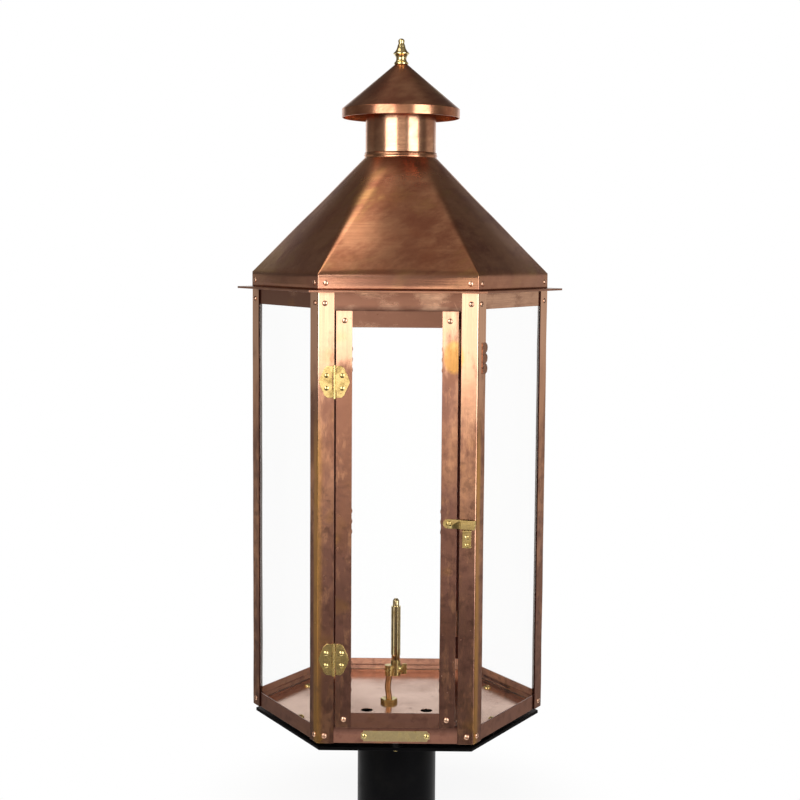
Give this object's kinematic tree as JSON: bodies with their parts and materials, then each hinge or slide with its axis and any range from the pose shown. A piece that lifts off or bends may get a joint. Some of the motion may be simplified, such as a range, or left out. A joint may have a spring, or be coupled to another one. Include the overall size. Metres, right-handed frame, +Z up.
{
  "type": "post-mounted gas lantern",
  "caption": "Hexagonal copper gas lantern with glass panes, hinged and latched door, hooded roof, chimney and rain cap, on a plate and tube that slip over a round post.",
  "frame": {"origin": "on the lantern's vertical axis at the open mouth of the post fitter tube", "axes": "+Z up along the post and the chimney; -Y is the front with the door; +X is the latch side of the door"},
  "size_m": [0.335, 0.2902, 0.8022],
  "materials": {
    "copper_frame": "rolled copper strip, satin, lightly tarnished and stained",
    "copper_roof": "copper sheet, brown patina, mottled with water stains",
    "copper_inside": "bright pink copper sheet",
    "copper_screws": "slotted copper screws, tarnished",
    "brass": "satin brass, slightly aged",
    "black_steel": "satin black paint on steel",
    "plain_steel": "plated steel",
    "glass": "clear float glass"
  },
  "bodies": {
    "lantern": {"post_fitter": "black_steel", "set_screws": "plain_steel", "mounting_plate": "black_steel", "bolt_spacers": "plain_steel", "floor_bolts": "brass", "floor_pan": "copper_inside", "corner_post_1": "copper_frame", "corner_post_2": "copper_frame", "corner_post_3": "copper_frame", "corner_post_4": "copper_frame", "corner_post_5": "copper_frame", "corner_post_6": "copper_frame", "top_rail_1": "copper_frame", "top_rail_2": "copper_frame", "top_rail_3": "copper_frame", "top_rail_4": "copper_frame", "top_rail_5": "copper_frame", "top_rail_6": "copper_frame", "bottom_rail_1": "copper_frame", "bottom_rail_2": "copper_frame", "bottom_rail_3": "copper_frame", "bottom_rail_4": "copper_frame", "bottom_rail_5": "copper_frame", "bottom_rail_6": "copper_frame", "glass_pane_1": "glass", "glass_pane_2": "glass", "glass_pane_3": "glass", "glass_pane_4": "glass", "glass_pane_5": "glass", "pane_clips": "copper_inside", "frame_screws": "copper_screws", "brass_screws_frame": "brass", "hinge_frame_leaf_lower": "brass", "hinge_frame_leaf_upper": "brass", "hinge_pins": "brass", "latch_keeper": "brass", "nameplate": "brass", "inlet_union": "brass", "supply_pipe": "brass", "burner_valve": "brass", "burner_tube": "brass", "drip_plate": "copper_roof", "roof_hood": "copper_roof", "chimney_tube": "copper_roof", "cap_bracket": "copper_roof", "cap_rod": "plain_steel", "rain_cap": "copper_roof", "finial": "brass"},
    "door": {"door_stile_left": "copper_frame", "door_stile_right": "copper_frame", "door_rail_bottom": "copper_frame", "door_rail_top": "copper_frame", "door_screws": "copper_screws", "door_glass": "glass", "door_clips": "copper_inside", "hinge_door_leaf_lower": "brass", "hinge_door_leaf_upper": "brass", "brass_screws_door": "brass"},
    "latch": {"latch_arm": "brass"},
    "gas_key": {"valve_key": "brass"}
  },
  "joints": [
    {"name": "door_hinge", "type": "hinge", "parent": "lantern", "child": "door", "pos_m": [-0.0602, -0.13378, 0.328], "axis": [0, 0, -1], "range_deg": [0, 150]},
    {"name": "latch_pivot", "type": "hinge", "parent": "door", "child": "latch", "pos_m": [0.0501, -0.1333, 0.3274], "axis": [0, -1, 0], "range_deg": [-2.5, 95]},
    {"name": "gas_key_turn", "type": "hinge", "parent": "lantern", "child": "gas_key", "pos_m": [0.005, 0, 0.1481], "axis": [1, 0, 0], "range_deg": [0, 90]}
  ]
}
